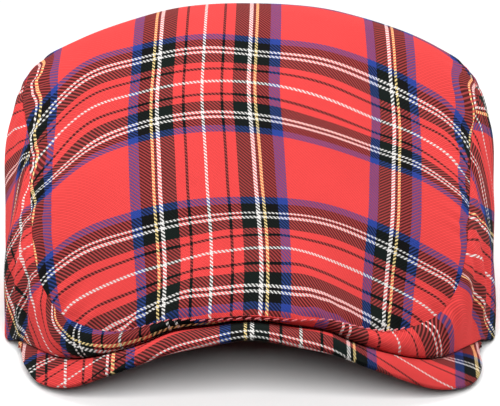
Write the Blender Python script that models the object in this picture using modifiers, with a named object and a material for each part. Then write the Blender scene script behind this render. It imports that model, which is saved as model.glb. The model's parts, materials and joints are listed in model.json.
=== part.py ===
# A flat cap sewn from four pieces: a top panel that runs from the back of the crown to its
# rounded front, two side panels that run from the middle of the back round to the middle of
# the front, and a stiff arched peak under the front of the crown.
#
# Metres, +Z up. The front of the cap faces -Y. The origin is on the surface that the cap
# stands on, below the middle of its box.

import bpy
import bmesh
import numpy as np

# Driving dimensions
CROWN_WIDTH = 0.200       # outside, from side wall to side wall
CROWN_LENGTH = 0.227      # from the front seam of the top panel to its back seam
CROWN_HEIGHT = 0.116      # the highest point of the top panel above the surface
TOP_WIDTH = 0.188         # the top panel from seam to seam
FRONT_LIFT = 0.0365       # the hem above the surface, at the middle of the front
FRONT_SPINE = 0.060       # the top panel's ridge starts this far behind the front seam
BACK_SPINE = 0.068        # and ends this far before the back seam
SIDE_SWELL = 0.035        # how fully the side walls swell out below the seam
CLOTH = 0.0016            # cloth wall
SEAM_GAP = 0.0003         # between pieces that meet
SEAM_DIP = 0.0008         # the seam lies this much lower than the cloth beside it
SEAM_DIP_WIDTH = 0.0035   # the cloth starts to fall to the seam this far away
FOLD_DEPTH = 0.0018       # soft upright folds in the side panels
PEAK_REACH = 0.010        # the peak in front of the hem, at the middle
PEAK_FALL = 0.0092        # the peak's edge below the hem, where it droops most
PEAK_DEPTH = 0.031        # the peak's inner edge behind the front seam, at the middle
PEAK_LIFT = 0.006         # the peak's inner edge above the hem, at the middle
OPENING_WIDTH = 0.186     # the oval of the head opening, as the peak's inner edge follows it
OPENING_MIDDLE = 0.118    # its middle behind the front seam
PEAK_SWELL = 0.0006       # how far the visible strip of the peak is rounded up
PEAK_THICKNESS = 0.0024
PEAK_TUCK = 0.0007        # the peak is this much lower where the hem's wall stands over it

# How finely the pieces are divided
ROUND_STEPS = 56          # from the middle of the front to the middle of the back
TOP_RINGS = (0.0, 0.22, 0.42, 0.58, 0.71, 0.81, 0.89, 0.945, 0.98, 1.0)
SIDE_ROWS = (0.0, 0.06, 0.16, 0.3, 0.46, 0.64, 0.83, 1.0)

# Each row is a section across the right half of the crown, square to its outline.
# way_round: 0 at the middle of the front, 1 at the middle of the back, along the seam
# seam_across, hem_across: shares of half the top's width and of half the crown's width
# seam_along, hem_along: behind the front seam, shares of the crown's length
# seam_up: share of the height from the hem to the top of the crown
# hem_up: share of the front lift
# swell: share of the side swell
SECTIONS = (
    # way_round, seam_across, seam_along, seam_up, hem_across, hem_along, hem_up, swell
    (0.000, 0.000, 0.000, 0.023, 0.000, 0.006, 1.000, 0.00),
    (0.046, 0.172, 0.006, 0.032, 0.147, 0.008, 0.944, 0.00),
    (0.088, 0.322, 0.022, 0.051, 0.289, 0.014, 0.870, 0.03),
    (0.121, 0.427, 0.043, 0.065, 0.397, 0.028, 0.717, 0.06),
    (0.159, 0.541, 0.076, 0.076, 0.520, 0.053, 0.566, 0.10),
    (0.202, 0.666, 0.117, 0.119, 0.643, 0.095, 0.423, 0.17),
    (0.245, 0.771, 0.166, 0.163, 0.741, 0.149, 0.339, 0.25),
    (0.284, 0.841, 0.216, 0.229, 0.807, 0.209, 0.293, 0.33),
    (0.335, 0.887, 0.281, 0.324, 0.858, 0.273, 0.218, 0.41),
    (0.398, 0.912, 0.367, 0.425, 0.906, 0.332, 0.150, 0.48),
    (0.469, 0.934, 0.471, 0.520, 0.968, 0.409, 0.010, 0.50),
    (0.548, 0.953, 0.587, 0.612, 0.974, 0.547, 0.000, 0.69),
    (0.638, 1.000, 0.721, 0.720, 0.947, 0.713, 0.000, 1.07),
    (0.729, 0.937, 0.855, 0.775, 0.802, 0.838, 0.000, 1.09),
    (0.824, 0.658, 0.950, 0.800, 0.529, 0.922, 0.000, 0.92),
    (0.916, 0.320, 0.990, 0.809, 0.255, 0.955, 0.000, 0.78),
    (1.000, 0.000, 1.000, 0.812, 0.000, 0.963, 0.000, 0.78),
)

# The crown's ridge, seen from the side.
# along: behind the front seam, share of the crown's length
# up: share of the height from the front seam to the top of the crown
RIDGE = (
    # along, up
    (0.000, 0.000),
    (0.052, 0.078),
    (0.268, 0.384),
    (0.442, 0.629),
    (0.593, 0.841),
    (0.680, 0.942),
    (0.784, 1.000),
    (0.866, 0.972),
    (0.939, 0.873),
    (0.974, 0.791),
    (1.000, 0.722),
)

# Sections of the peak's right half, along the hem that stands on it.
# reach, fall: shares of the sizes of the same names
# lift: the inner edge above the hem, share of the peak's lift
# opening_angle: where the inner edge is on the oval of the head opening, in degrees from
# the middle of the front
PEAK_SECTIONS = (
    # way_round, reach, fall, lift, opening_angle
    (0.000, 1.00, 0.27, 1.00, 0.0),
    (0.046, 0.97, 0.35, 1.00, 8.0),
    (0.088, 0.88, 0.52, 0.97, 15.5),
    (0.121, 0.75, 0.56, 0.92, 21.0),
    (0.159, 0.64, 0.76, 0.80, 27.5),
    (0.202, 0.67, 1.00, 0.62, 35.0),
    (0.245, 0.71, 0.94, 0.42, 43.0),
    (0.284, 0.58, 0.63, 0.25, 50.0),
    (0.335, 0.30, 0.30, 0.10, 58.0),
    (0.386, 0.05, 0.06, 0.04, 64.0),
)

# Soft upright folds in each side panel.
# way_round: where the fold is, width: how wide it is, both shares of the way round
# depth: share of the fold depth, less than 0 where the cloth stands out
FOLDS = (
    # way_round, width, depth
    (0.335, 0.014, 1.00),
    (0.375, 0.016, -0.70),
    (0.420, 0.018, 1.00),
    (0.500, 0.025, 0.60),
    (0.660, 0.030, 0.50),
)

SHOULDER = 2.2            # how square the crown's shoulders are: 2 is round, 8 is a box
HEM_BAND = 0.1            # the lowest share of the side wall stands straight up
HEM_LEAN = 2.3            # in degrees, how far the side wall leans out above that band
MITRE_FADE = 2.5          # the inner face slides over this many times its own slide
DIP_ROOM = 4.0            # a wall lower than this many dip widths dips less at its seam
WELD = 1e-6               # points closer than this are one point
SHARP_ANGLE = 45.0        # in degrees, edges that turn more than this look sharp
UP = np.array([0.0, 0.0, 1.0])

# Colours before any pattern, and the roughness of twill
TOP_RED = (0.62, 0.06, 0.06, 1.0)
SIDE_RED = (0.55, 0.05, 0.06, 1.0)
PEAK_RED = (0.58, 0.05, 0.05, 1.0)
TWILL_ROUGHNESS = 0.85


# Curves through tables

# Smooth values of a table's other columns at the given values of its first one. Each
# column is a cubic through its rows. Where the table starts at the middle plane, and where
# it ends there, the curve goes on as its own mirror image, with the columns in odd negated.
def read_table(table, at, odd=(), mirrored=True):
    rows = np.array(table)
    if mirrored:
        image = np.ones(rows.shape[1])
        image[list(odd)] = -1.0
        before = rows[2:0:-1] * image
        before[:, 0] = -before[:, 0]
        after = np.empty((0, rows.shape[1]))
        if rows[-1, 0] == 1.0:
            after = rows[-2:-4:-1] * image
            after[:, 0] = 2.0 - after[:, 0]
        rows = np.vstack([before, rows, after])
    key = rows[:, 0]
    values = rows[:, 1:]
    slope = np.gradient(values, key, axis=0)
    i = np.clip(np.searchsorted(key, at, side="right") - 1, 0, len(key) - 2)
    step = (key[i + 1] - key[i])[:, None]
    s = (at - key[i])[:, None] / step
    return (
        (2 * s**3 - 3 * s**2 + 1) * values[i]
        + (s**3 - 2 * s**2 + s) * step * slope[i]
        + (3 * s**2 - 2 * s**3) * values[i + 1]
        + (s**3 - s**2) * step * slope[i + 1]
    )


# The seam and the hem of the crown's right half, and the swell between them.
def seam_and_hem(at):
    columns = read_table(SECTIONS, at, odd=(1, 4)).T
    seam_across, seam_along, seam_up, hem_across, hem_along, hem_up, swell = columns
    hem_height = np.maximum(hem_up, 0.0) * FRONT_LIFT
    hem = np.stack([
        hem_across * CROWN_WIDTH / 2,
        hem_along * CROWN_LENGTH,
        hem_height,
    ], axis=-1)
    seam = np.stack([
        seam_across * TOP_WIDTH / 2,
        seam_along * CROWN_LENGTH,
        hem_height + seam_up * (CROWN_HEIGHT - hem_height),
    ], axis=-1)
    return seam, hem, np.maximum(swell, 0.0) * SIDE_SWELL


# Height of the crown's ridge, this far behind the front seam.
def ridge_height(y):
    front_seam = SECTIONS[0][3] * (CROWN_HEIGHT - FRONT_LIFT) + FRONT_LIFT
    share = np.clip(y / CROWN_LENGTH, 0.0, 1.0)
    up = read_table(RIDGE, share.ravel(), mirrored=False)[:, 0].reshape(share.shape)
    return front_seam + up * (CROWN_HEIGHT - front_seam)


# Directions

def unit(vectors):
    return vectors / np.linalg.norm(vectors, axis=-1, keepdims=True)


# Level directions square to a curve that runs from the front to the back, away from the crown.
def outward(curve):
    along = np.gradient(curve, axis=0)
    side = np.stack([along[:, 1], -along[:, 0], np.zeros(len(curve))], axis=-1)
    return unit(side)


# Directions square to a grid of points whose rows run away from its first one.
def grid_normals(grid):
    normals = np.cross(np.gradient(grid, axis=0), np.gradient(grid, axis=1))
    normals[:, 0, 0] = 0.0
    normals[:, -1, 0] = 0.0
    return normals


# Surfaces of the crown's right half, rows away from the ridge, columns from front to back

# The top panel falls from the ridge to the seam by a power of the share of the way out, so
# that it is nearly level in the middle and steep at the shoulders.
def top_surface(seam, rings):
    ridge_y = np.clip(seam[:, 1], FRONT_SPINE, CROWN_LENGTH - BACK_SPINE)
    x = rings * seam[:, 0]
    y = ridge_y + rings * (seam[:, 1] - ridge_y)
    fall = ridge_height(seam[:, 1]) - seam[:, 2]
    z = ridge_height(y) - fall * rings**SHOULDER
    return np.stack([x, y, z], axis=-1)


# A side wall swells out below the seam, and comes to the hem straight down.
def side_surface(seam, hem, swell, rows):
    out = outward(seam)
    drop = seam[:, 2] - hem[:, 2]
    band_top = hem + UP * (drop * HEM_BAND)[:, None]
    leave = band_top - seam + out * swell[:, None]
    lean = np.tan(np.radians(HEM_LEAN))
    arrive = -(out * lean + UP) * drop[:, None]
    wall = (
        (2 * rows**3 - 3 * rows**2 + 1) * seam
        + (rows**3 - 2 * rows**2 + rows) * leave
        + (3 * rows**2 - 2 * rows**3) * band_top
        + (rows**3 - rows**2) * arrive
    )
    return np.concatenate([wall, hem[None]], axis=0)


# How far the folds push the side wall in, at each share of the way round and row.
def fold_depth(at, rows):
    depth = np.zeros_like(at)
    for way_round, width, share in FOLDS:
        depth = depth + share * np.exp(-(((at - way_round) / width) ** 2))
    fade = np.sin(np.pi * np.clip(rows, 0.0, 1.0)) ** 2
    return FOLD_DEPTH * fade * depth


# Near a mitred edge the inner face slides along the wall, by slide at the edge itself and by
# less further away. It slides by nothing at the panel's far edge, length away.
def slide_to_mitre(slide, away, length):
    amount = np.linalg.norm(slide, axis=-1)
    fade = np.minimum(MITRE_FADE * amount, length) + WELD**2
    return slide * np.clip(1 - away / fade, 0.0, 1.0)[..., None]


# The outer faces of both panels, and the inner faces one wall behind them. At the seam the
# walls are mitred: both end on the plane that halves the angle between them.
def crown_walls(at):
    seam, hem, swell = seam_and_hem(at)
    rings = np.array(TOP_RINGS)[:, None]
    rows = np.array(SIDE_ROWS)[:, None]
    top = top_surface(seam, rings)
    side = side_surface(seam, hem, swell, rows[:, :, None])

    # the cloth falls to the seam on both sides of it
    top_edge = unit(grid_normals(top)[-1])
    side_edge = unit(grid_normals(side)[0])
    seam_out = unit(top_edge + side_edge)
    top_away = np.linalg.norm(top - seam, axis=-1)
    side_away = np.linalg.norm(side - seam, axis=-1)
    room = np.clip((seam[:, 2] - hem[:, 2]) / (DIP_ROOM * SEAM_DIP_WIDTH), 0.0, 1.0) ** 2
    dip = seam_out * (SEAM_DIP * room)[:, None]
    top = top - dip * np.exp(-((top_away / SEAM_DIP_WIDTH) ** 2))[..., None]
    side = side - dip * np.exp(-((side_away / SEAM_DIP_WIDTH) ** 2))[..., None]
    side[:-1] -= outward(seam) * fold_depth(at, rows)[..., None]

    # inner faces
    top_normals = grid_normals(top)
    ridge = top[0]
    ridge_step = CROWN_LENGTH / ROUND_STEPS
    rise = (ridge_height(ridge[:, 1] + ridge_step) - ridge_height(ridge[:, 1] - ridge_step))
    top_normals[0] = np.stack([0 * rise, -rise / (2 * ridge_step), 0 * rise + 1], axis=-1)
    top_normals = unit(top_normals)
    side_normals = unit(grid_normals(side))
    facing = np.sum(top_normals[-1] * side_normals[0], axis=-1, keepdims=True)
    mitre = -CLOTH * (top_normals[-1] + side_normals[0]) / (1 + facing)
    top_inner = top - CLOTH * top_normals
    side_inner = side - CLOTH * side_normals
    top_inner += slide_to_mitre(mitre + CLOTH * top_normals[-1], top_away, top_away[0])
    side_inner += slide_to_mitre(mitre + CLOTH * side_normals[0], side_away, side_away[-1])

    # the gap between the two walls at the seam
    across = unit(np.cross(np.gradient(seam, axis=0), mitre))
    across *= np.sign(np.sum(across * (side[1] - side[0]), axis=-1, keepdims=True))
    half_gap = across * SEAM_GAP / 2
    top[-1] -= half_gap
    top_inner[-1] -= half_gap
    side[:-1] += half_gap * (1 - rows)[..., None]
    side_inner[:-1] += half_gap * (1 - rows)[..., None]
    return top, top_inner, side, side_inner


# The upper face of the peak's right half, rows from its inner edge to its outer edge. The
# hem's wall stands over it with the seam gap, and it dips a little under that wall.
def peak_surface(at):
    reach, fall, lift, angle = read_table(PEAK_SECTIONS, at, odd=(4,)).T
    hem = seam_and_hem(at)[1]
    out = outward(hem)
    out[0] = (0.0, -1.0, 0.0)
    seat = hem - UP * SEAM_GAP
    edge = seat + out * (reach * PEAK_REACH)[:, None] - UP * (fall * PEAK_FALL)[:, None]
    tuck = seat - out * (CLOTH + 2 * SEAM_GAP) - UP * PEAK_TUCK
    turn = np.radians(angle)
    half_length = OPENING_MIDDLE - PEAK_DEPTH
    inner = np.stack([
        OPENING_WIDTH / 2 * np.sin(turn),
        OPENING_MIDDLE - half_length * np.cos(turn),
        seat[:, 2] + lift * PEAK_LIFT,
    ], axis=-1)
    swell = (out + UP) * (PEAK_SWELL * np.minimum(reach, 1.0))[:, None]
    rows = [
        inner,
        (inner * 2 + tuck) / 3,
        (inner + tuck * 2) / 3,
        tuck,
        seat,
        (seat + edge) / 2 + swell,
        edge,
    ]
    return np.stack(rows)


# Meshes

# Four-sided faces over a grid of point numbers, seen from the side that its normals face.
def grid_faces(numbers):
    return np.stack([
        numbers[:-1, :-1],
        numbers[1:, :-1],
        numbers[1:, 1:],
        numbers[:-1, 1:],
    ], axis=-1).reshape(-1, 4)


# Faces that join an edge of the outer face to the same edge of the inner face.
def edge_faces(outer, inner):
    return np.stack([outer[:-1], inner[:-1], inner[1:], outer[1:]], axis=-1)


def mesh_from(name, points, faces):
    mesh = bpy.data.meshes.new(name)
    mesh.from_pydata(points.reshape(-1, 3).tolist(), [], [face.tolist() for face in faces])
    shape = bmesh.new()
    shape.from_mesh(mesh)
    bmesh.ops.remove_doubles(shape, verts=shape.verts, dist=WELD)
    bmesh.ops.dissolve_degenerate(shape, edges=shape.edges, dist=WELD)
    shape.to_mesh(mesh)
    shape.free()
    mesh.shade_smooth()
    mesh.set_sharp_from_angle(angle=np.radians(SHARP_ANGLE))
    return mesh


# A cloth wall between two grids. ends lists the sides of the grid that are closed: its
# first or last row, or its first or last column.
def wall_mesh(name, outer, inner, ends, flipped=False):
    numbers = np.arange(outer[..., 0].size).reshape(outer.shape[:2])
    behind = numbers + numbers.size
    faces = [grid_faces(numbers), grid_faces(behind)[:, ::-1]]
    if "first_row" in ends:
        faces.append(edge_faces(numbers[0], behind[0])[:, ::-1])
    if "last_row" in ends:
        faces.append(edge_faces(numbers[-1], behind[-1]))
    if "first_column" in ends:
        faces.append(edge_faces(numbers[:, 0], behind[:, 0]))
    if "last_column" in ends:
        faces.append(edge_faces(numbers[:, -1], behind[:, -1])[:, ::-1])
    faces = np.concatenate(faces)
    points = np.stack([outer, inner])
    if flipped:
        points = points * (-1, 1, 1)
        faces = faces[:, ::-1]
    return mesh_from(name, points, faces)


# Materials

def twill_material(name, colour):
    material = bpy.data.materials.new(name)
    material.use_nodes = True
    shader = material.node_tree.nodes["Principled BSDF"]
    shader.inputs["Base Color"].default_value = colour
    shader.inputs["Roughness"].default_value = TWILL_ROUGHNESS
    shader.inputs["Metallic"].default_value = 0.0
    return material


# Objects

def add_object(name, mesh, material, collection):
    piece = bpy.data.objects.new(name, mesh)
    piece.data.materials.append(material)
    collection.objects.link(piece)
    return piece


def mirror(piece):
    modifier = piece.modifiers.new("Mirror", "MIRROR")
    modifier.use_axis = (True, False, False)
    modifier.merge_threshold = 0.0001


def add_top_panel(collection, outer, inner):
    red = twill_material("top_twill", TOP_RED)
    mesh = wall_mesh("top_panel", outer, inner, ("last_row",))
    mirror(add_object("top_panel", mesh, red, collection))


# The panels' ends stand half a gap off the middle plane, so that they don't touch.
def add_side_panels(collection, outer, inner):
    for grid in (outer, inner):
        grid[:, 0, 0] = SEAM_GAP / 2
        grid[:, -1, 0] = SEAM_GAP / 2
    ends = ("first_row", "last_row", "first_column", "last_column")
    for side, flipped in (("left", True), ("right", False)):
        name = "side_panel_" + side
        red = twill_material("side_twill_" + side, SIDE_RED)
        add_object(name, wall_mesh(name, outer, inner, ends, flipped), red, collection)


def add_peak(collection, surface):
    red = twill_material("peak_twill", PEAK_RED)
    numbers = np.arange(surface[..., 0].size).reshape(surface.shape[:2])
    mesh = mesh_from("peak", surface, grid_faces(numbers))
    piece = add_object("peak", mesh, red, collection)
    mirror(piece)
    thickness = piece.modifiers.new("Thickness", "SOLIDIFY")
    thickness.thickness = PEAK_THICKNESS
    thickness.offset = -1.0


def main():
    for old in list(bpy.data.objects):
        bpy.data.objects.remove(old, do_unlink=True)
    collection = bpy.data.collections.new("flat_cap")
    bpy.context.scene.collection.children.link(collection)

    at = np.linspace(0.0, 1.0, ROUND_STEPS + 1)
    top, top_inner, side, side_inner = crown_walls(at)
    peak = peak_surface(at[at <= PEAK_SECTIONS[-1][0]])

    # the middle of the box, from the peak's edge to the back of the crown, comes to y = 0
    front = peak[..., 1].min()
    back = max(top[..., 1].max(), side[..., 1].max())
    for grid in (top, top_inner, side, side_inner, peak):
        grid[..., 1] -= (front + back) / 2

    add_top_panel(collection, top, top_inner)
    add_side_panels(collection, side, side_inner)
    add_peak(collection, peak)


main()
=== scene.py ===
# Looks of a flat cap in red tartan twill: a top panel, two side panels and a covered peak.
# Metres, +Z up, the front of the cap faces -Y.

import json
import math

import bmesh
import bpy
import numpy as np
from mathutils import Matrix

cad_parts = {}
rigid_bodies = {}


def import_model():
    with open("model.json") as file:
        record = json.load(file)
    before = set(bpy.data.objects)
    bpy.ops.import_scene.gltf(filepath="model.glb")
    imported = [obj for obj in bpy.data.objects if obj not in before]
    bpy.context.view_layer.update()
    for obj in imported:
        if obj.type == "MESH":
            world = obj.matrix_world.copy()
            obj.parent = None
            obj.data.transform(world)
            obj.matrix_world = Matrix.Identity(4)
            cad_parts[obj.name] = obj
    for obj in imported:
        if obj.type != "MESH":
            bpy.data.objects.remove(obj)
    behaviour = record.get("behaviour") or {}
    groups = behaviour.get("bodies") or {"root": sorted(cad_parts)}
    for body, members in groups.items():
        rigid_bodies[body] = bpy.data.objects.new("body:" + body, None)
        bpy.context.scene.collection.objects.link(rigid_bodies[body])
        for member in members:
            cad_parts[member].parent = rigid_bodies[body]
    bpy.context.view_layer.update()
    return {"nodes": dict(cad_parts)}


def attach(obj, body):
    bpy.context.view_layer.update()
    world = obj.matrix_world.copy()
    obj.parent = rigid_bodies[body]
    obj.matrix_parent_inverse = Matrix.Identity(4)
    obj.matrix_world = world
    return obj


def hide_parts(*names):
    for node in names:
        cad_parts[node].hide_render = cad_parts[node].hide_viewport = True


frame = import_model()
print("frame loaded:", sorted(frame["nodes"]))


# Form of the crown, the same as the solids have

crown = {
    "width": 0.200,         # outside, side wall to side wall
    "length": 0.227,        # front seam to back seam of the top panel
    "height": 0.116,
    "topWidth": 0.188,      # the top panel from seam to seam
    "frontLift": 0.0365,    # the hem above the floor, middle of the front
    "frontSpine": 0.060,    # the ridge starts this far behind the front seam
    "backSpine": 0.068,     # and ends this far before the back seam
    "sideSwell": 0.035,     # how fully the side walls swell out
    "shoulder": 2.2,        # 2 is a round shoulder, 8 a box's
    "hemBand": 0.1,         # this share of the side wall stands straight up
    "hemLean": 2.3,         # degrees, the wall's lean above that band
    "cloth": 0.0016,        # wall
    "seamWall": 0.15,       # share of it at a seam, where the real cloth turns in
    "seamWallWidth": 0.003,
    "seamGap": 0.0003,
    # way round, then shares: seam across, seam along, seam up, hem across, hem along, hem up, swell
    "sections": [
        (0.000, 0.000, 0.000, 0.023, 0.000, 0.006, 1.000, 0.00),
        (0.046, 0.172, 0.006, 0.032, 0.147, 0.008, 0.944, 0.00),
        (0.088, 0.322, 0.022, 0.051, 0.289, 0.014, 0.870, 0.03),
        (0.121, 0.427, 0.043, 0.065, 0.397, 0.028, 0.717, 0.06),
        (0.159, 0.541, 0.076, 0.076, 0.520, 0.053, 0.566, 0.10),
        (0.202, 0.666, 0.117, 0.119, 0.643, 0.095, 0.423, 0.17),
        (0.245, 0.771, 0.166, 0.163, 0.741, 0.149, 0.339, 0.25),
        (0.284, 0.841, 0.216, 0.229, 0.807, 0.209, 0.293, 0.33),
        (0.335, 0.887, 0.281, 0.324, 0.858, 0.273, 0.218, 0.41),
        (0.398, 0.912, 0.367, 0.425, 0.906, 0.332, 0.150, 0.48),
        (0.469, 0.934, 0.471, 0.520, 0.968, 0.409, 0.010, 0.50),
        (0.548, 0.953, 0.587, 0.612, 0.974, 0.547, 0.000, 0.69),
        (0.638, 1.000, 0.721, 0.720, 0.947, 0.713, 0.000, 1.07),
        (0.729, 0.937, 0.855, 0.775, 0.802, 0.838, 0.000, 1.09),
        (0.824, 0.658, 0.950, 0.800, 0.529, 0.922, 0.000, 0.92),
        (0.916, 0.320, 0.990, 0.809, 0.255, 0.955, 0.000, 0.78),
        (1.000, 0.000, 1.000, 0.812, 0.000, 0.963, 0.000, 0.78),
    ],
    # share along from the front seam, share of the rise to the top
    "ridge": [
        (0.000, 0.000),
        (0.052, 0.078),
        (0.268, 0.384),
        (0.442, 0.629),
        (0.593, 0.841),
        (0.680, 0.942),
        (0.784, 1.000),
        (0.866, 0.972),
        (0.939, 0.873),
        (0.974, 0.791),
        (1.000, 0.722),
    ],
}
placing = {
    "frontSeamY": -0.1100,  # so that the middle of the cap's box lies over the origin
    "mergeWithin": 1e-7,    # doubles at seams and poles
}
toWorld = np.array([0.0, placing["frontSeamY"], 0.0])
up = np.array([0.0, 0.0, 1.0])
fullTurn = 6.28             # radians, for waves that needn't close


# A cubic from start to end, with the slopes that it leaves and arrives by, for s from 0 to 1.
def cubic(s, start, leave, end, arrive):
    return (
        (2 * s**3 - 3 * s**2 + 1) * start
        + (s**3 - 2 * s**2 + s) * leave
        + (3 * s**2 - 2 * s**3) * end
        + (s**3 - s**2) * arrive
    )


# A cubic through a table's rows, read at many values of its first column. At the middle
# plane the curve goes on as its own mirror image, with the columns in odd negated.
def readTable(table, at, odd=(), mirrored=True):
    rows = np.array(table)
    if mirrored:
        image = np.ones(rows.shape[1])
        image[list(odd)] = -1.0
        before = rows[2:0:-1] * image
        before[:, 0] = -before[:, 0]
        after = np.empty((0, rows.shape[1]))
        if rows[-1, 0] == 1.0:
            after = rows[-2:-4:-1] * image
            after[:, 0] = 2.0 - after[:, 0]
        rows = np.vstack([before, rows, after])
    key, values = rows[:, 0], rows[:, 1:]
    slope = np.gradient(values, key, axis=0)
    i = np.clip(np.searchsorted(key, at, side="right") - 1, 0, len(key) - 2)
    step = (key[i + 1] - key[i])[:, None]
    s = (at - key[i])[:, None] / step
    return cubic(s, values[i], step * slope[i], values[i + 1], step * slope[i + 1])


# Seam and hem of the crown's right half: shares from the table times the crown's sizes.
def seamAndHem(way):
    shares = readTable(crown["sections"], way, odd=(1, 4)).T
    across, along, rise, hemAcross, hemAlong, hemUp, swell = shares
    hemHeight = np.maximum(hemUp, 0.0) * crown["frontLift"]
    hem = np.stack([
        hemAcross * crown["width"] / 2,
        hemAlong * crown["length"],
        hemHeight,
    ], axis=-1)
    seam = np.stack([
        across * crown["topWidth"] / 2,
        along * crown["length"],
        hemHeight + rise * (crown["height"] - hemHeight),
    ], axis=-1)
    return seam, hem, np.maximum(swell, 0.0) * crown["sideSwell"]


# Height of the ridge over the middle, this far behind the front seam.
def ridgeHeight(y):
    frontShare = crown["sections"][0][3]
    front = frontShare * (crown["height"] - crown["frontLift"]) + crown["frontLift"]
    share = np.clip(y / crown["length"], 0.0, 1.0)
    rise = readTable(crown["ridge"], share.ravel(), mirrored=False)[:, 0].reshape(share.shape)
    return front + rise * (crown["height"] - front)


def unit(vectors):
    return vectors / np.maximum(np.linalg.norm(vectors, axis=-1, keepdims=True), 1e-12)


# Level directions square to a curve that runs from front to back, away from the crown.
def outward(curve):
    along = np.gradient(curve, axis=0)
    return unit(np.stack([along[:, 1], -along[:, 0], np.zeros(len(curve))], axis=-1))


# Directions square to a grid: the cross product of its two steps.
def gridNormals(grid):
    return np.cross(np.gradient(grid, axis=0), np.gradient(grid, axis=1))


# The first and last columns lie in the cap's middle plane, and their normals stay in it.
def keepInMiddle(normals):
    normals[:, [0, -1], 0] = 0.0
    return unit(normals)


# Length along axis from the grid's first point.
def arcLength(grid, axis):
    step = np.linalg.norm(np.diff(grid, axis=axis), axis=-1)
    total = np.cumsum(step, axis=axis)
    return np.insert(total, 0, 0.0, axis=axis)


# A bell over a distance: 1 in the middle, and near 0 beyond twice its width.
def bell(distance, width):
    return np.exp(-((distance / width) ** 2))


# Straight from 0 at the start to 1 at this length.
def fadeIn(distance, length):
    return np.clip(distance / length, 0.0, 1.0)


# Soft uneven waves, about -1 to 1: a sum of sines in seeded directions, with wavelengths from
# 0.7 to 1.5 times the given one.
def softWaves(u, v, wavelength, seed, count=7):
    luck = np.random.default_rng(seed)
    turns = luck.uniform(0, math.pi, count)
    stretches = luck.uniform(0.7, 1.5, count)
    phases = luck.uniform(0, fullTurn, count)
    total = np.zeros_like(u)
    for turn, stretch, phase in zip(turns, stretches, phases):
        along = u * math.cos(turn) + v * math.sin(turn)
        total = total + np.sin(fullTurn / (wavelength * stretch) * along + phase)
    return total / math.sqrt(count * 2)


# Puckers beside a seam: the height of a sine along it, whose phase wanders, times a bell over
# the distance from the seam, and fading to nothing right at the seam.
def puckers(panel, seamLength, away, seed):
    wander = softWaves(seamLength, 0.0, panel["puckerWanderLength"], seed)
    phase = fullTurn * seamLength / panel["puckerLength"] + panel["puckerWander"] * wander
    clear = 1 - bell(away, panel["puckerStart"])
    return panel["puckerHeight"] * np.sin(phase) * bell(away, panel["puckerReach"]) * clear


# The cloth's wall at a distance from the seam: less at the seam, whole a few millimetres on.
def wallNear(away):
    thin = crown["seamWall"]
    return crown["cloth"] * (thin + (1 - thin) * (1 - bell(away, crown["seamWallWidth"])))


# Numbers of a grid's points.
def numberGrid(grid):
    return np.arange(grid[..., 0].size).reshape(grid.shape[:-1])


# Four-sided faces over a grid of point numbers.
def gridFaces(numbers):
    corners = [numbers[:-1, :-1], numbers[1:, :-1], numbers[1:, 1:], numbers[:-1, 1:]]
    return np.stack(corners, axis=-1).reshape(-1, 4)


# Faces of a tube and its two ends. A column of point numbers is a loop that runs out along one
# wall and back along the other, so an end joins the two halves of its loop across the wall. Its
# last face, at the turn, has one corner twice and becomes a triangle.
def tubeFaces(numbers):
    half = (len(numbers) + 1) // 2
    there, back = numbers[:half], numbers[::-1][:half]
    ends = np.stack([there[:-1], back[:-1], back[1:], there[1:]], axis=-1)
    closed = np.concatenate([numbers, numbers[:1]])
    return np.concatenate([gridFaces(closed), ends[:, 0], ends[:, -1, ::-1]])


# A mesh from points, faces of four corners and one map coordinate a point, with its doubles
# merged. A face that has one corner twice running is made a triangle.
def addPiece(name, points, faces, cloth, material, mirrored=False):
    if mirrored:
        points = points * (-1, 1, 1)
        faces = faces[:, ::-1]
    isCorner = faces != np.roll(faces, 1, axis=1)
    corners = faces[isCorner]
    sizes = isCorner.sum(axis=1)
    mesh = bpy.data.meshes.new(name)
    mesh.vertices.add(len(points))
    mesh.vertices.foreach_set("co", points.astype(np.float32).ravel())
    mesh.loops.add(len(corners))
    mesh.loops.foreach_set("vertex_index", corners.astype(np.int32))
    mesh.polygons.add(len(faces))
    mesh.polygons.foreach_set("loop_start", (np.cumsum(sizes) - sizes).astype(np.int32))
    mesh.update(calc_edges=True)
    layer = mesh.uv_layers.new(name="cloth")
    layer.data.foreach_set("uv", cloth[corners].astype(np.float32).ravel())
    shape = bmesh.new()
    shape.from_mesh(mesh)
    within = placing["mergeWithin"]
    bmesh.ops.remove_doubles(shape, verts=shape.verts, dist=within)
    bmesh.ops.dissolve_degenerate(shape, edges=shape.edges, dist=within / 2)
    shape.to_mesh(mesh)
    shape.free()
    mesh.shade_smooth()
    mesh.materials.append(material)
    piece = bpy.data.objects.new(name, mesh)
    bpy.context.scene.collection.objects.link(piece)
    return piece


# Materials

# Linear colour of an sRGB hex value.
def toLinear(code):
    parts = [int(code[i : i + 2], 16) / 255 for i in (0, 2, 4)]
    return [p / 12.92 if p <= 0.04045 else ((p + 0.055) / 1.055) ** 2.4 for p in parts] + [1.0]


# A material with its node tree and its shader.
def newMaterial(name):
    material = bpy.data.materials.new(name)
    material.use_nodes = True
    return material, material.node_tree, material.node_tree.nodes["Principled BSDF"]


# Adds a node with its settings, links or fills its inputs, and gives one of its outputs. In a
# Mix node of colours, these are the inputs 6 and 7 and the output 2.
def addNode(tree, kind, inputs=(), output=0, **settings):
    node = tree.nodes.new("ShaderNode" + kind)
    for key, value in settings.items():
        setattr(node, key, value)
    for key, value in inputs.items() if isinstance(inputs, dict) else enumerate(inputs):
        if isinstance(value, bpy.types.NodeSocket):
            tree.links.new(value, node.inputs[key])
        else:
            node.inputs[key].default_value = value
    return node.outputs[output]


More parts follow.
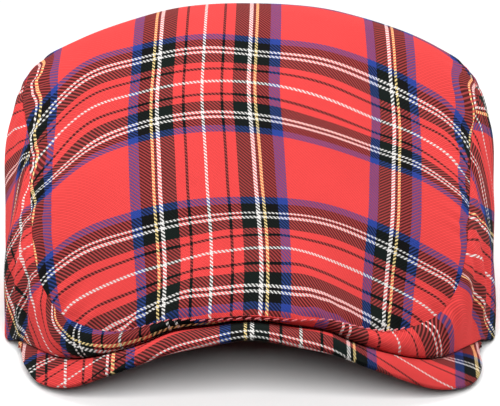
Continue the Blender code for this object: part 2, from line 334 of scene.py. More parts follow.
# Dyed yarns of the tartan
yarn = {
    "red": "ef5c5b",
    "black": "0b0a0b",
    "green": "13231e",
    "blue": "3a57ad",
    "white": "efece8",
    "yellow": "f9dd98",
}

# Half of the sett, from the middle of the narrow part: colour and width in millimetres. The last
# red goes on to warpHalf or weftHalf, then the stripes come back as a mirror image.
sett = {
    "warpHalf": 47.0,
    "weftHalf": 50.0,
    "rampLength": 50.0,     # millimetres that a colour ramp spans, the longest half or more
    "warp": [
        ("white", 0.45), ("red", 6.65), ("black", 1.25), ("red", 3.45), ("green", 5.9),
        ("white", 1.3), ("black", 1.1), ("yellow", 1.35), ("black", 4.85), ("blue", 3.8),
        ("red", 16.9),
    ],
    "weft": [
        ("white", 0.5), ("red", 6.6), ("black", 1.25), ("red", 3.45), ("green", 6.15),
        ("white", 1.25), ("black", 1.55), ("white", 1.25), ("black", 4.9), ("blue", 3.8),
        ("red", 19.3),
    ],
}

twill = {
    # The real cloth has about 32 ends and 25 picks a centimetre. They are drawn a fifth coarser,
    # so that the diagonal of the twill still shows at the picture's size.
    "warpPitch": 0.000375,
    "weftPitch": 0.00049,
    "repeat": 4.0,          # yarns, two over and two under
    "tint": 0.62,           # how far a dark yarn takes the colour of the yarn under it
    "leak": 0.12,           # how much of that yarn shows through the gaps
    "weftShade": 0.88,      # painted shade on the weft, which lies a little deeper than the warp
    "hollowShade": 0.55,         # painted shade: brightness where a float dives under
    "yarnRound": 0.4,       # how round a yarn is across, 0 is flat; in relief and painted shade
    "fuzzScale": 3500.0,    # fuzz of about a quarter of a millimetre
    "fuzzDetail": 3.0,
    "fuzzShade": 0.3,       # from dark to light
    "fuzzRoughness": 0.2,
    "fuzzHeight": 0.35,     # share of a float's height
    "dyeScale": 35.0,       # uneven dye over 30 mm
    "dyeDetail": 4.0,
    "dyeShade": 0.2,
    "roughness": 0.75,      # where the fuzz is lowest
    "bumpStrength": 0.5,
    "bumpHeight": 0.00012,
    "specular": 0.06,
    "sheen": 0.02,
    "sheenRoughness": 0.5,
}


# Cotton tartan in an even twill, two over, two under, yarn-dyed: matt floats on a fine diagonal.
# The sum of both yarn positions, divided by four, gives the place along the float: its first half
# shows warp, its second half weft, and each float arches up in between. Light that scatters
# through a float takes the colour of the yarn below, so red over black looks dark: the colour is
# (1 - t) times top + t times under times (top + leak times (1 - top)), where t is the tint times
# (1 - the top yarn's green), as a pale yarn scatters nearly all light before it gets through.
# across, along: where a middle of the narrow part lies, in millimetres of the cloth's map.
# join, joinMiddle, joinHalf: beyond this many millimetres across, the cloth goes on as its own
# mirror image, with its middle and half sett there.
def tartanTwill(name, across, along, join=1e4, joinMiddle=0.0, joinHalf=50.0):
    material, tree, shader = newMaterial(name)
    place = addNode(tree, "UVMap", uv_map="cloth")
    u = addNode(tree, "SeparateXYZ", [place], 0)
    v = addNode(tree, "SeparateXYZ", [place], 1)
    half = sett["warpHalf"]
    beyond = addNode(tree, "Math", [u, join / 1000], operation="GREATER_THAN")
    middle = addNode(tree, "Math", [beyond, joinMiddle - across, across], operation="MULTIPLY_ADD")
    warpHalf = addNode(tree, "Math", [beyond, joinHalf - half, half], operation="MULTIPLY_ADD")

    # number of each yarn, and the place within it
    warpAt = addNode(tree, "Math", [u, twill["warpPitch"]], operation="DIVIDE")
    weftAt = addNode(tree, "Math", [v, twill["weftPitch"]], operation="DIVIDE")
    warpNumber = addNode(tree, "Math", [warpAt], operation="FLOOR")
    weftNumber = addNode(tree, "Math", [weftAt], operation="FLOOR")

    # stripes: distance of the yarn's middle from the sett's, in millimetres, folded back at each
    # half sett
    colours = []
    for number, pitch, shift, half, rows in (
        (warpNumber, twill["warpPitch"], middle, warpHalf, sett["warp"]),
        (weftNumber, twill["weftPitch"], along, sett["weftHalf"], sett["weft"]),
    ):
        toMiddle = [number, pitch * 1000, pitch * 500]
        distance = addNode(tree, "Math", toMiddle, operation="MULTIPLY_ADD")
        distance = addNode(tree, "Math", [distance, shift], operation="SUBTRACT")
        distance = addNode(tree, "Math", [distance, half], operation="PINGPONG")
        share = addNode(tree, "Math", [distance, sett["rampLength"]], operation="DIVIDE")
        stripes = addNode(tree, "ValToRGB", [share])
        ramp = stripes.node.color_ramp
        ramp.interpolation = "CONSTANT"
        ramp.elements.remove(ramp.elements[-1])
        edge = 0.0
        for i, (colour, width) in enumerate(rows):
            start = edge / sett["rampLength"]
            stop = ramp.elements[0] if i == 0 else ramp.elements.new(start)
            stop.color = toLinear(yarn[colour])
            edge += width
        colours.append(stripes)

    # the float: warp on top in the first half of the diagonal
    lean = addNode(tree, "Math", [beyond, -2.0, 1.0], operation="MULTIPLY_ADD")
    diagonal = addNode(tree, "Math", [weftAt, lean, warpAt], operation="MULTIPLY_ADD")
    repeats = addNode(tree, "Math", [diagonal, twill["repeat"]], operation="DIVIDE")
    phase = addNode(tree, "Math", [repeats], operation="FRACT")
    warpOnTop = addNode(tree, "Math", [phase, 0.5], operation="LESS_THAN")
    weftOverWarp = {0: warpOnTop, 6: colours[1], 7: colours[0]}
    warpOverWeft = {0: warpOnTop, 6: colours[0], 7: colours[1]}
    top = addNode(tree, "Mix", weftOverWarp, 2, data_type="RGBA")
    under = addNode(tree, "Mix", warpOverWeft, 2, data_type="RGBA")
    turn = addNode(tree, "Math", [phase, 2 * math.pi], operation="MULTIPLY")
    wave = addNode(tree, "Math", [turn], operation="SINE")
    arch = addNode(tree, "Math", [wave], operation="ABSOLUTE")
    acrossWarp = addNode(tree, "Math", [warpAt], operation="FRACT")
    acrossWeft = addNode(tree, "Math", [weftAt], operation="FRACT")
    within = addNode(tree, "Mix", {0: warpOnTop, 2: acrossWeft, 3: acrossWarp})
    halfTurn = addNode(tree, "Math", [within, math.pi], operation="MULTIPLY")
    bulge = addNode(tree, "Math", [halfTurn], operation="SINE")
    rounding = [bulge, twill["yarnRound"], 1 - twill["yarnRound"]]
    rounded = addNode(tree, "Math", rounding, operation="MULTIPLY_ADD")
    relief = addNode(tree, "Math", [arch, rounded], operation="MULTIPLY")

    # painted shade in the hollows, at the yarns' sides and on the weft; uneven with the fuzz and
    # the dye
    solid = addNode(tree, "TexCoord", output=3)
    noise = {"Vector": solid, "Scale": twill["fuzzScale"], "Detail": twill["fuzzDetail"]}
    fuzz = addNode(tree, "TexNoise", noise)
    noise = {"Vector": solid, "Scale": twill["dyeScale"], "Detail": twill["dyeDetail"]}
    dye = addNode(tree, "TexNoise", noise)
    hollowShade, weftShade = twill["hollowShade"], twill["weftShade"]
    # painted shade: the colour is darkened where a float dives under, at its sides and on the weft
    shade = addNode(tree, "Math", [relief, 1 - hollowShade, hollowShade], operation="MULTIPLY_ADD")
    for source, gain, base in (
        (warpOnTop, 1 - weftShade, weftShade),
        (fuzz, twill["fuzzShade"], 1 - twill["fuzzShade"] / 2),
        (dye, twill["dyeShade"], 1 - twill["dyeShade"] / 2),
    ):
        factor = addNode(tree, "Math", [source, gain, base], operation="MULTIPLY_ADD")
        shade = addNode(tree, "Math", [shade, factor], operation="MULTIPLY")

    # colour: the top yarn, tinted by the one under it
    paleness = addNode(tree, "SeparateXYZ", [top], 1)
    fall = [paleness, -twill["tint"], twill["tint"]]
    tint = addNode(tree, "Math", fall, operation="MULTIPLY_ADD")
    leaks = [top, [1 - twill["leak"]] * 3, [twill["leak"]] * 3]
    gaps = addNode(tree, "VectorMath", leaks, operation="MULTIPLY_ADD")
    through = addNode(tree, "VectorMath", [gaps, under], operation="MULTIPLY")
    colour = addNode(tree, "Mix", {0: tint, 6: top, 7: through}, 2, data_type="RGBA")
    colour = addNode(tree, "VectorMath", {0: colour, "Scale": shade}, operation="SCALE")
    tree.links.new(colour, shader.inputs["Base Color"])

    # matt surface with the floats and the fuzz in relief
    rough = [fuzz, twill["fuzzRoughness"], twill["roughness"]]
    rough = addNode(tree, "Math", rough, operation="MULTIPLY_ADD")
    tree.links.new(rough, shader.inputs["Roughness"])
    height = addNode(tree, "Math", [fuzz, twill["fuzzHeight"], relief], operation="MULTIPLY_ADD")
    bump = {"Height": height, "Strength": twill["bumpStrength"], "Distance": twill["bumpHeight"]}
    tree.links.new(addNode(tree, "Bump", bump), shader.inputs["Normal"])
    shader.inputs["Specular IOR Level"].default_value = twill["specular"]
    shader.inputs["Sheen Weight"].default_value = twill["sheen"]
    shader.inputs["Sheen Roughness"].default_value = twill["sheenRoughness"]
    return material


# Top panel

topPanel = {
    "tartan": {"across": -16.9, "along": 35.5, "join": 51.0, "joinMiddle": 38.2, "joinHalf": 39.2},
    "rings": 66,
    "crowding": 1.5,        # how much closer the rings lie at the seam, 1 is evenly spaced
    "wayRound": 260,        # columns in each half
    "seamDip": 0.0011,      # the cloth sinks into the seam
    "seamDipWidth": 0.0030,
    "waveHeight": 0.0005,   # soft unevenness of the stuffed crown
    "waveLength": 0.07,
    "waveStart": 0.03,      # distance from the seam where they have their full height
    "puckerHeight": 0.00032,
    "puckerLength": 0.0105,
    "puckerReach": 0.011,
    "puckerStart": 0.002,
    "puckerWander": 1.5,    # radians that their phase wanders
    "puckerWanderLength": 0.03,
    "uneven": 0.6,          # how much the height of the puckers varies
    "unevenLength": 0.04,
    "seeds": (5, 9, 3),     # of that, of the puckers and of the waves
    "leastReach": 0.02,     # the map's shoulder is taken at least this wide
    "ridgeSteps": 400,
    "slopeStep": 0.001,
    "stretch": 0.985,
    "gather": 1.5,          # the warp snakes beside the side seams, in millimetres
    "gatherLength": 31.0,
    "gatherStart": 82.0,    # this far across
    "gatherWidth": 10.0,
    "leanTurn": 5.0,        # from here across, the warp turns to its other lean
    "leanTurnWidth": 40.0,
    # how far the weft lies behind its place at -18 mm across, in millimetres: a row for each
    # place across, a column for each place along the ridge
    "weftPlaces": [16, 36, 56, 117, 137, 158],
    "weftDrape": [
        (-96, 9, 3, 0, -15, -8, -7),
        (-84, 9, 4, 2, -9, -2, -1),
        (-70, 8, 5, 4, -2, 4, 5),
        (-45, 3, 3, 1, 1, 2, 3),
        (-18, 0, 0, 0, 0, 0, 0),
        (5, 0, 2, 0, -4, -3, -4),
        (30, 1, 3, 1, -10, -7, -4),
        (50, 4, 3, -1, -13, -11, -6),
        (70, 7, 4, -2, -11, -10, -7),
        (84, 8, 4, -1, -14, -9, -8),
        (96, 9, 3, -1, -20, -15, -14),
    ],
    # how far the warp lies to the right of its place, for each place along the ridge
    "warpDrape": [
        (0, 2.2), (30, 2.7), (45, 2.3), (60, 1.5), (75, 0.6), (89, 0.0), (105, -0.8),
        (120, -1.7), (135, -2.0), (155, -1.5), (190, -0.8), (240, -0.8),
    ],
}


# The top panel's middle surface: from the ridge out to the seam by equal shares, its height
# the ridge's height less the fall to the seam times the share to the power of the shoulder.
def topSurface(seam, share):
    ridgeY = np.clip(seam[:, 1], crown["frontSpine"], crown["length"] - crown["backSpine"])
    x = share * seam[:, 0]
    y = ridgeY + share * (seam[:, 1] - ridgeY)
    fall = ridgeHeight(seam[:, 1]) - seam[:, 2]
    z = ridgeHeight(y) - fall * share ** crown["shoulder"]
    return np.stack([x, y, z], axis=-1), fall


# Shift of the weft and the warp at each place, in millimetres: the tables read smoothly across
# and straight between places along. The warp leans the other way on the right of the cap.
def drape(across, along):
    atAcross, atAlong = across.ravel(), along.ravel()
    columns = readTable(topPanel["weftDrape"], atAcross, mirrored=False)
    places = np.array(topPanel["weftPlaces"], float)
    at = np.interp(atAlong, places, np.arange(len(places)))
    at = np.clip(at, 0, len(places) - 1.001)
    before = at.astype(int)
    pick = np.arange(len(at))
    part = at - before
    weft = columns[pick, before] * (1 - part) + columns[pick, before + 1] * part
    warp = readTable(topPanel["warpDrape"], atAlong, mirrored=False)[:, 0]
    right = fadeIn(atAcross - topPanel["leanTurn"], topPanel["leanTurnWidth"])
    warp = warp * (1 - 2 * right**2 * (3 - 2 * right))
    nearSeam = fadeIn(np.abs(atAcross) - topPanel["gatherStart"], topPanel["gatherWidth"])
    snake = np.sin(fullTurn * atAlong / topPanel["gatherLength"])
    warp = warp + topPanel["gather"] * nearSeam * snake
    return weft.reshape(across.shape), warp.reshape(across.shape)


# The top panel: that surface, moved along its normals by the seam's dip, the puckers and the
# waves, with the inner wall behind it. Rows go from the ridge to the seam, columns go round.
def makeTopPanel(material):
    half = np.linspace(0.0, 1.0, topPanel["wayRound"] + 1)
    way = np.concatenate([-half[:0:-1], half])
    side = np.sign(way)
    ring = np.linspace(0.0, 1.0, topPanel["rings"])
    share = (1 - (1 - ring) ** topPanel["crowding"])[:, None]
    seam = seamAndHem(np.abs(way))[0]
    surface, fall = topSurface(seam, share)

    # map: across is x plus the extra length of the shoulder's curve, along is the length of
    # the ridge, both less the drape
    reach = np.maximum(seam[:, 0], topPanel["leastReach"])
    steep = fall / reach * crown["shoulder"] * share ** (crown["shoulder"] - 1)
    extra = np.sqrt(1 + steep**2) - 1
    extra = np.cumsum((extra[1:] + extra[:-1]) / 2 * np.diff(share, axis=0), axis=0) * seam[:, 0]
    across = surface[..., 0] + np.vstack([np.zeros(len(way)), extra])
    line = np.linspace(0.0, crown["length"], topPanel["ridgeSteps"])
    steps = np.hypot(np.diff(line), np.diff(ridgeHeight(line)))
    along = np.interp(surface[..., 1], line, np.insert(np.cumsum(steps), 0, 0.0))
    weftShift, warpShift = drape(across * side * 1000, along * 1000)
    signed = across * side - warpShift / 1000
    along = (along - weftShift / 1000) * topPanel["stretch"]

    # the first ring is all on the ridge, so its normals follow from the ridge's slope
    surface[..., 0] *= side
    normals = gridNormals(surface)
    step = topPanel["slopeStep"]
    onRidge = surface[0, :, 1]
    slope = (ridgeHeight(onRidge + step) - ridgeHeight(onRidge - step)) / (2 * step)
    normals[0] = np.stack([0 * slope, -slope, 1 + 0 * slope], axis=-1)
    normals = keepInMiddle(normals)

    away = np.linalg.norm(surface - surface[-1], axis=-1)
    seamLength = arcLength(surface[-1], 0)
    unevenSeed, puckerSeed, waveSeed = topPanel["seeds"]
    uneven = softWaves(seamLength, 0.0, topPanel["unevenLength"], unevenSeed)
    uneven = 1 + topPanel["uneven"] * uneven
    waves = softWaves(signed, along, topPanel["waveLength"], waveSeed)
    offset = (
        uneven * puckers(topPanel, seamLength, away, puckerSeed)
        - topPanel["seamDip"] * bell(away, topPanel["seamDipWidth"])
        + topPanel["waveHeight"] * waves * fadeIn(away, topPanel["waveStart"])
    )
    outer = surface + normals * offset[..., None]
    outer[:, -1] = outer[:, 0]      # both sides meet at the middle of the back
    inner = outer - normals * wallNear(away)[..., None]
    numbers = numberGrid(outer)
    behind = numbers + numbers.size
    faces = np.concatenate([
        gridFaces(numbers),
        gridFaces(behind)[:, ::-1],
        gridFaces(np.stack([numbers[-1], behind[-1]])),
    ])
    points = np.concatenate([outer.reshape(-1, 3), inner.reshape(-1, 3)]) + toWorld
    cloth = np.stack([signed, along], axis=-1).reshape(-1, 2)
    piece = addPiece("topPanelCloth", points, faces, np.concatenate([cloth, cloth]), material)
    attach(piece, "root")
    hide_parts("top_panel")
    return outer + toWorld


# Side panels

sidePanel = {
    "rows": 46,
    "crowding": 1.4,        # how much closer the rows lie at the seam
    "wayRound": 260,
    "seamDip": 0.0009,
    "seamDipWidth": 0.0028,
    "puckerHeight": 0.00035,
    "puckerLength": 0.0105,
    "puckerReach": 0.014,
    "puckerStart": 0.002,
    "puckerWander": 2.0,
    "puckerWanderLength": 0.03,
    "waveHeight": 0.0006,
    "waveLength": 0.045,
    "waveStart": 0.010,     # distance from the seam, and from the hem, where they are full
    "waveHemStart": 0.006,
    "lowWall": 0.010,       # a wall lower than this has less dip, puckers and waves
    # way round, width, depth of upright folds, in shares of the way and metres
    "folds": [
        (0.335, 0.014, 0.0018),
        (0.375, 0.016, -0.0013),
        (0.420, 0.018, 0.0018),
        (0.500, 0.025, 0.0011),
        (0.660, 0.030, 0.0009),
    ],
    "roll": 0.0009,         # the strip over the peak bulges out and its hem turns under
    "rollEnd": 0.27,        # way round where that ends
    "hemTurn": 2.2,         # times the roll, how far the hem goes in
    "hemTurnHeight": 0.0022,
    "hemArc": (30, 60, 90, 120, 150),  # degrees round the hem's edge
    "seeds": (21, 22),      # of the left and the right panel
    # the cloth's place at each way round, in millimetres: warp at the hem and at the seam, weft at
    # the hem and at the seam. The two panels are cut from different places of the cloth.
    "leftCloth": [
        (0.000, 20.6, 22.8, -44, -44), (0.046, 20.0, 23.1, -31, -31), (0.088, 19.3, 24.4, -19, -19),
        (0.121, 18.9, 26.0, -8, -8), (0.159, 18.0, 27.5, 5, 4), (0.202, 11.5, 30.0, 23, 17),
        (0.245, -0.5, 24.0, 37, 42), (0.284, -10.6, 7.8, 51, 66), (0.335, -21, 6, 64, 91),
        (0.398, -23, 6, 76, 117), (0.469, -35, 0, 93, 151), (0.548, -70, -27, 120, 190),
        (0.638, -95, -33, 152, 217), (0.729, -115, -41, 181, 241), (0.824, -132, -47, 214, 260),
        (0.916, -141, -49, 245, 268), (1.000, -143, -49, 275, 275),
    ],
    "rightCloth": [
        (0.000, 58, 56, -50, -50), (0.046, 59, 56, -38, -38), (0.088, 60, 55, -26, -26),
        (0.121, 61, 54, -15, -15), (0.159, 61, 52, -4, -3), (0.202, 61, 49, 9, 15),
        (0.245, 60, 45, 24, 31), (0.284, 57, 33, 38, 42), (0.335, 43, 2, 51, 49),
        (0.398, 29, -17, 64, 56), (0.469, 20, -38, 81, 66), (0.548, 8, -58, 109, 87),
        (0.638, -6, -83, 143, 113), (0.729, -17, -100, 172, 140), (0.824, -26, -112, 202, 175),
        (0.916, -31, -118, 228, 214), (1.000, -33, -120, 251, 251),
    ],
}


# The side wall's surface: a cubic from the seam, which it leaves outwards, to the hem, where it
# comes straight down, with the hem band below.
def sideSurface(seam, hem, swell, share):
    out = outward(seam)
    drop = (seam[:, 2] - hem[:, 2])[:, None]
    bandTop = hem + up * drop * crown["hemBand"]
    leave = bandTop - seam + out * swell[:, None]
    arrive = -(out * math.tan(math.radians(crown["hemLean"])) + up) * drop
    wall = cubic(share[:, None, None], seam, leave, bandTop, arrive)
    return np.concatenate([wall, (bandTop * 0.5 + hem * 0.5)[None], hem[None]], axis=0)


# A side panel: that surface, moved along its normals by the seam's dip, the puckers, the roll,
# the waves and the upright folds, then round the hem's edge in half a circle and back up inside
# by the wall. Rows go from the seam to the hem, columns from the front to the back.
def makeSidePanel(name, node, material, mirrored, clothTable, seed):
    way = np.linspace(0.0, 1.0, sidePanel["wayRound"] + 1)
    share = np.linspace(0.0, 1.0, sidePanel["rows"]) ** sidePanel["crowding"]
    seam, hem, swell = seamAndHem(way)
    surface = sideSurface(seam, hem, swell, share)
    surface[:, [0, -1], 0] = crown["seamGap"] / 2
    normals = keepInMiddle(gridNormals(surface))

    # map: straight up the wall between the table's values at the hem and at the seam
    upWall = arcLength(surface, 0)
    upWall = upWall[-1] - upWall
    level = upWall / np.maximum(upWall[0], 1e-6)
    warpHem, warpSeam, weftHem, weftSeam = readTable(clothTable, way, mirrored=False).T / 1000
    lengthwise = warpHem + (warpSeam - warpHem) * level
    crosswise = weftHem + (weftSeam - weftHem) * level

    away = np.linalg.norm(surface - surface[0], axis=-1)
    room = fadeIn(seam[:, 2] - hem[:, 2], sidePanel["lowWall"])
    front = np.clip(1 - way / sidePanel["rollEnd"], 0.0, 1.0) ** 0.5
    turnedUnder = sidePanel["hemTurn"] * bell(upWall, sidePanel["hemTurnHeight"])
    waves = softWaves(arcLength(hem, 0), upWall, sidePanel["waveLength"], seed)
    waves = waves * fadeIn(upWall, sidePanel["waveHemStart"])
    offset = (
        room * puckers(sidePanel, arcLength(seam, 0), away, seed)
        - sidePanel["seamDip"] * room * bell(away, sidePanel["seamDipWidth"])
        + sidePanel["roll"] * front * (np.sin(math.pi * level) - turnedUnder)
        + sidePanel["waveHeight"] * room * waves * fadeIn(away, sidePanel["waveStart"])
    )
    for place, width, depth in sidePanel["folds"]:
        offset = offset - depth * bell(way - place, width) * np.sin(math.pi * level) ** 2
    outer = surface + normals * offset[..., None]

    wall = wallNear(away)
    wall[-2:] = crown["cloth"]
    outer[-1] += up * crown["cloth"] / 2
    inner = outer - normals * wall[..., None]
    middle = (outer[-1] + inner[-1]) / 2
    arm = outer[-1] - middle
    angle = np.radians(sidePanel["hemArc"])[:, None, None]
    sag = np.linalg.norm(arm, axis=-1)[:, None] * np.sin(angle)
    arc = middle + arm * np.cos(angle) - up * sag
    loop = np.concatenate([outer, arc, inner[::-1]])
    cloth = np.stack([lengthwise, crosswise], axis=-1)
    hemCloth = np.repeat(cloth[-1:], len(arc), axis=0)
    hemCloth[..., 0] -= crown["cloth"] / 2 * np.sin(angle[..., 0])
    cloth = np.concatenate([cloth, hemCloth, cloth[::-1]]).reshape(-1, 2)
    points = loop.reshape(-1, 3) + toWorld
    piece = addPiece(name, points, tubeFaces(numberGrid(loop)), cloth, material, mirrored)
    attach(piece, "root")
    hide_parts(node)


# Peak

peak = {
    "tartan": {"across": 19.1, "along": -97.0},
    "reach": 0.010,
    "rightReach": 0.40,     # share of it that the right corner stands out more
    "rightPlace": 0.255,    # way round where that is, and its width
    "rightWidth": 0.055,
    "fall": 0.0092,
    "depth": 0.031,
    "lift": 0.006,
    "openingWidth": 0.186,
    "openingMiddle": 0.118,
    "swell": 0.0006,
    "thickness": 0.0024,
    "tuck": 0.0007,
    "wayRound": 200,
    "hiddenRows": 16,       # under the hem
    "shownRows": 22,
    "edgeRows": 11,
    "edgeStart": 15.0,      # degrees, the first and last of these from the walls
    "edgeShare": 0.6,       # the rounded edge takes at most this share of the reach
    # way round, shares of reach, fall and lift, and the angle round the head opening
    "sections": [
        (0.000, 1.00, 0.27, 1.00, 0.0),
        (0.046, 0.97, 0.35, 1.00, 8.0),
        (0.088, 0.88, 0.52, 0.97, 15.5),
        (0.121, 0.75, 0.56, 0.92, 21.0),
        (0.159, 0.64, 0.76, 0.80, 27.5),
        (0.202, 0.67, 1.00, 0.62, 35.0),
        (0.245, 0.71, 0.94, 0.42, 43.0),
        (0.284, 0.58, 0.63, 0.25, 50.0),
        (0.335, 0.30, 0.30, 0.10, 58.0),
        (0.386, 0.05, 0.06, 0.04, 64.0),
    ],
}


# The peak's section, from its inner edge under the hem to its outer edge: straight to the hem,
# then out by its reach and down by its fall, rounded up a little on the way, and round the edge
# in half a circle to the underside, which lies one thickness below. Columns go round from the
# left corner to the right.
def makePeak(material):
    last = peak["sections"][-1][0]
    half = np.linspace(0.0, last, peak["wayRound"] + 1)
    way = np.concatenate([-half[:0:-1], half])
    side = np.where(way < 0, -1.0, 1.0)
    mirror = np.stack([side, np.abs(side), np.abs(side)], axis=-1)
    reach, fall, lift, angle = readTable(peak["sections"], np.abs(way), odd=(4,)).T
    rightCorner = (side > 0) * bell(way - peak["rightPlace"], peak["rightWidth"])
    reach = reach + peak["rightReach"] * rightCorner
    hem = seamAndHem(np.abs(way))[1]
    out = outward(hem * mirror) * mirror
    seat = hem - up * crown["seamGap"]
    edge = seat + out * (reach * peak["reach"])[:, None] - up * (fall * peak["fall"])[:, None]
    tuck = seat - out * (crown["cloth"] + 2 * crown["seamGap"]) - up * peak["tuck"]
    turn = np.radians(angle)
    inner = np.stack([
        peak["openingWidth"] / 2 * np.sin(turn),
        peak["openingMiddle"] - (peak["openingMiddle"] - peak["depth"]) * np.cos(turn),
        seat[:, 2] + lift * peak["lift"],
    ], axis=-1)
    seatRow = peak["hiddenRows"]
    hidden = np.linspace(0.0, 1.0, seatRow)[:-1, None, None]
    shown = np.linspace(0.0, 1.0, peak["shownRows"])[:, None, None]
    outwards = unit(edge - seat)
    radius = peak["thickness"] / 2
    rimWidth = np.linalg.norm(edge - seat, axis=-1) * peak["edgeShare"]
    rim = edge - outwards * np.minimum(radius, rimWidth)[:, None]
    swelling = (out + up) * (peak["swell"] * np.minimum(reach, 1.0))[:, None]
    strip = seat + shown * (rim - seat) + swelling * np.sin(math.pi * shown)
    top = np.concatenate([inner + hidden * (tuck - inner), tuck[None], strip])
    top[..., 0] *= side
    outwards[:, 0] *= side
    normals = unit(gridNormals(top))
    normals *= np.sign(normals[..., 2:])
    rimNormal = normals[-1]
    middle = top[-1] - rimNormal * radius
    bend = np.linspace(peak["edgeStart"], 180 - peak["edgeStart"], peak["edgeRows"])
    bend = np.radians(bend)[:, None, None]
    roll = middle + (rimNormal * np.cos(bend) + outwards * np.sin(bend)) * radius
    under = (top - normals * peak["thickness"])[::-1]
    loop = np.concatenate([top, roll, under])

    # map: across is the length over the arch, along is the depth plus the length round the edge
    centre = len(way) // 2
    arch = arcLength(top[-1] * (1, 0, 1), 0)
    arch = arch - arch[centre]
    stretch = arch / np.where(np.abs(top[-1, :, 0]) < 1e-6, 1.0, top[-1, :, 0])
    stretch[centre] = stretch[centre + 1]
    acrossTop = top[..., 0] * stretch
    fromSeat = arcLength(top, 0)
    fromSeat = fromSeat - fromSeat[seatRow]
    alongTop = top[seatRow, :, 1] - fromSeat + placing["frontSeamY"]
    rollLength = bend[..., 0] * radius
    clothTop = np.stack([acrossTop, alongTop], axis=-1)
    clothRoll = np.stack([acrossTop[-1] + 0 * rollLength, alongTop[-1] - rollLength], axis=-1)
    cloth = np.concatenate([clothTop, clothRoll, clothTop[::-1]]).reshape(-1, 2)

    points = loop.reshape(-1, 3) + toWorld
    faces = tubeFaces(numberGrid(loop))[:, ::-1]
    piece = addPiece("peakCloth", points, faces, cloth, material)
    shape = bmesh.new()
    shape.from_mesh(piece.data)
    bmesh.ops.recalc_face_normals(shape, faces=shape.faces)
    shape.to_mesh(piece.data)
    shape.free()
    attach(piece, "root")
    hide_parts("peak")


# Seam stitches

stitches = {
    "colour": "f0747a",
    "twistScale": 900.0,    # a turn of the thread's twist about every 0.7 mm
    "twistShade": 0.6,      # painted shade: brightness in its grooves
    "twistHeight": 0.0001,
    "twistStrength": 0.5,
    "roughness": 0.55,
    "spacing": 0.0034,
    "length": 0.0024,
    "radius": 0.00028,
    "sides": 6,
    "lift": 0.0008,         # out of the groove, up and to the front
    "lean": 14.0,           # degrees to the seam
    "ends": (-0.052, 0.058),  # across, where the row starts and stops
    "frontDepth": 0.05,     # it takes the seam up to this far behind the front
    # place along half the length, share of the radius
    "bead": [
        (-1.0, 0.0), (-0.82, 0.7), (-0.4, 1.0), (0.0, 1.0), (0.4, 1.0), (0.82, 0.7), (1.0, 0.0),
    ],
}


# Spun polyester sewing thread: a smooth red cord with a slight gloss and a tight twist, with
# painted shade in the twist's grooves.
def sewingThread(name):
    material, tree, shader = newMaterial(name)
    place = addNode(tree, "UVMap", uv_map="cloth")
    wave = {"Vector": place, "Scale": stitches["twistScale"]}
    twist = addNode(tree, "TexWave", wave, 1, bands_direction="DIAGONAL")
    tones = addNode(tree, "ValToRGB", [twist])
    colour = toLinear(stitches["colour"])
    # painted shade: the colour in the twist's grooves is darkened
    groove = [part * stitches["twistShade"] for part in colour[:3]] + [1.0]
    tones.node.color_ramp.elements[0].color = groove
    tones.node.color_ramp.elements[1].color = colour
    tree.links.new(tones, shader.inputs["Base Color"])
    bump = {"Height": twist, "Strength": stitches["twistStrength"]}
    bump["Distance"] = stitches["twistHeight"]
    tree.links.new(addNode(tree, "Bump", bump), shader.inputs["Normal"])
    shader.inputs["Roughness"].default_value = stitches["roughness"]
    return material


# Short red stitches in the groove of the front seam, each a closed bead: a point lies along the
# stitch by its share of half the length, and out from it by its share of the radius.
def makeStitches(material, seam):
    start, stop = stitches["ends"]
    front = seam[seam[:, 1] < placing["frontSeamY"] + stitches["frontDepth"]]
    front = front[(front[:, 0] > start) & (front[:, 0] < stop)]
    length = arcLength(front, 0)
    at = np.arange(stitches["spacing"] / 2, length[-1], stitches["spacing"])
    steps = np.gradient(front, axis=0)
    middle = np.stack([np.interp(at, length, part) for part in front.T], axis=-1)
    along = unit(np.stack([np.interp(at, length, part) for part in steps.T], axis=-1))
    lean = math.radians(stitches["lean"])
    along = unit(along * math.cos(lean) + up * math.sin(lean))
    side = unit(np.cross(along, up))
    lift = np.cross(side, along)
    middle = middle + (up - [0.0, 1.0, 0.0]) * stitches["lift"]
    place, wide = np.array(stitches["bead"]).T[..., None, None, None]
    angle = np.radians(np.arange(stitches["sides"]) * 360 / stitches["sides"])[:, None, None]
    ring = (np.cos(angle) * side + np.sin(angle) * lift) * stitches["radius"]
    points = middle + place * along * stitches["length"] / 2 + wide * ring
    numbers = numberGrid(points)
    faces = gridFaces(np.concatenate([numbers, numbers[:, :1]], axis=1))
    points = points.reshape(-1, 3)
    piece = addPiece("frontSeamStitches", points, faces, points[:, [0, 2]], material)
    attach(piece, "root")


topCloth = tartanTwill("topTartanTwill", **topPanel["tartan"])
topOuter = makeTopPanel(topCloth)
makeStitches(sewingThread("redSewingThread"), topOuter[-1])
print("top panel and its seam stitches made")

leftCloth = tartanTwill("leftSideTartanTwill", 0.0, 0.0)
rightCloth = tartanTwill("rightSideTartanTwill", 0.0, 0.0)
leftSeed, rightSeed = sidePanel["seeds"]
makeSidePanel(
    "sidePanelClothLeft", "side_panel_left",
    leftCloth, True, sidePanel["leftCloth"], leftSeed,
)
makeSidePanel(
    "sidePanelClothRight", "side_panel_right",
    rightCloth, False, sidePanel["rightCloth"], rightSeed,
)
print("side panels made")

makePeak(tartanTwill("peakTartanTwill", **peak["tartan"]))
print("peak made")


# Floor, light and camera

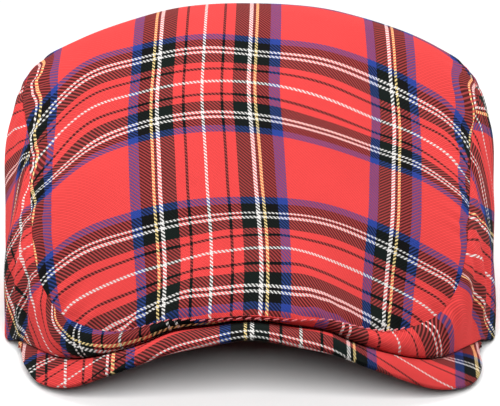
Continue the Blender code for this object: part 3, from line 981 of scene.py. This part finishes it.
studio = {
    "floorSize": 8.0,
    "floorLevel": -0.0002,  # just clear of the cap
    "floorTones": ("f3f3f3", "f7f7f7"),
    "floorGrain": 60.0,
    "floorRoughness": 0.95,
    "floorSpecular": 0.1,
    "worldStrength": 0.23,
    # name, place, size, power, what it lights and its bounces. Two light the floor alone: a low
    # one reaches it under the arch of the peak, a wide one overhead leaves a soft shadow round
    # the foot of the cap.
    "lights": [
        ("topLight", (-0.15, 0.25, 1.6), 0.8, 24.5, "litCap", 1024),
        ("leftLight", (-1.3, 0.0, 0.8), 1.0, 18.5, "litCap", 1024),
        ("rightLight", (1.3, 0.0, 0.8), 1.0, 18.5, "litCap", 1024),
        ("lowLight", (0.0, -1.25, 0.71), 0.55, 33.0, "litFloor", 0),
        ("wideLight", (0.0, 0.5, 1.6), 3.0, 37.0, "litFloor", 1024),
    ],
    "lightsAim": (0.0, 0.0, 0.05),
    "lens": 230.2,
    "sensor": 36.0,
    "clipStart": 0.01,
    "distance": 1.274,
    "elevation": 15.0,
    "centre": (0.0, 0.0093, 0.0588),
    "aimLower": 0.0101,     # the cap stands a little above the middle of the picture
}


# A flat square of pale paper: matt, white all over but for a faint cloudy grain.
def makeFloor():
    material, tree, shader = newMaterial("palePaper")
    solid = addNode(tree, "TexCoord", output=3)
    grain = addNode(tree, "TexNoise", {"Vector": solid, "Scale": studio["floorGrain"]})
    dark, pale = map(toLinear, studio["floorTones"])
    tint = addNode(tree, "Mix", {0: grain, 6: dark, 7: pale}, 2, data_type="RGBA")
    tree.links.new(tint, shader.inputs["Base Color"])
    shader.inputs["Roughness"].default_value = studio["floorRoughness"]
    shader.inputs["Specular IOR Level"].default_value = studio["floorSpecular"]
    mesh = bpy.data.meshes.new("floor")
    reach, level = studio["floorSize"] / 2, studio["floorLevel"]
    signs = ((-1, -1), (1, -1), (1, 1), (-1, 1))
    mesh.from_pydata([(x * reach, y * reach, level) for x, y in signs], [], [(0, 1, 2, 3)])
    mesh.materials.append(material)
    floor = bpy.data.objects.new("floor", mesh)
    bpy.context.scene.collection.objects.link(floor)


def aim(thing, target):
    direction = np.array(target) - np.array(thing.location)
    thing.rotation_euler = (
        math.acos(-direction[2] / np.linalg.norm(direction)),
        0.0,
        math.atan2(-direction[0], direction[1]),
    )


def makeLight(name, place, size, power, lit, bounces):
    light = bpy.data.lights.new(name, "AREA")
    light.size = size
    light.energy = power
    light.cycles.max_bounces = bounces
    lamp = bpy.data.objects.new(name, light)
    lamp.location = place
    bpy.context.scene.collection.objects.link(lamp)
    aim(lamp, studio["lightsAim"])
    lamp.light_linking.receiver_collection = lit


def makeStudio():
    makeFloor()
    world = bpy.data.worlds.new("studio")
    world.use_nodes = True
    background = world.node_tree.nodes["Background"]
    background.inputs["Color"].default_value = (1.0, 1.0, 1.0, 1.0)
    background.inputs["Strength"].default_value = studio["worldStrength"]
    bpy.context.scene.world = world
    lit = {name: bpy.data.collections.new(name) for name in ("litCap", "litFloor")}
    for piece in bpy.data.objects:
        if piece.type == "MESH":
            lit["litFloor" if piece.name == "floor" else "litCap"].objects.link(piece)
    for name, place, size, power, litName, bounces in studio["lights"]:
        makeLight(name, place, size, power, lit[litName], bounces)
    camera = bpy.data.cameras.new("camera")
    camera.lens = studio["lens"]
    camera.sensor_width = studio["sensor"]
    camera.clip_start = studio["clipStart"]
    holder = bpy.data.objects.new("camera", camera)
    tilt = math.radians(studio["elevation"])
    centre = np.array(studio["centre"])
    back = np.array([0.0, -math.cos(tilt), math.sin(tilt)])
    holder.location = centre + studio["distance"] * back
    aim(holder, centre - up * studio["aimLower"])
    bpy.context.scene.collection.objects.link(holder)
    bpy.context.scene.camera = holder
    bpy.context.scene.view_settings.view_transform = "Standard"


makeStudio()
print("studio made")
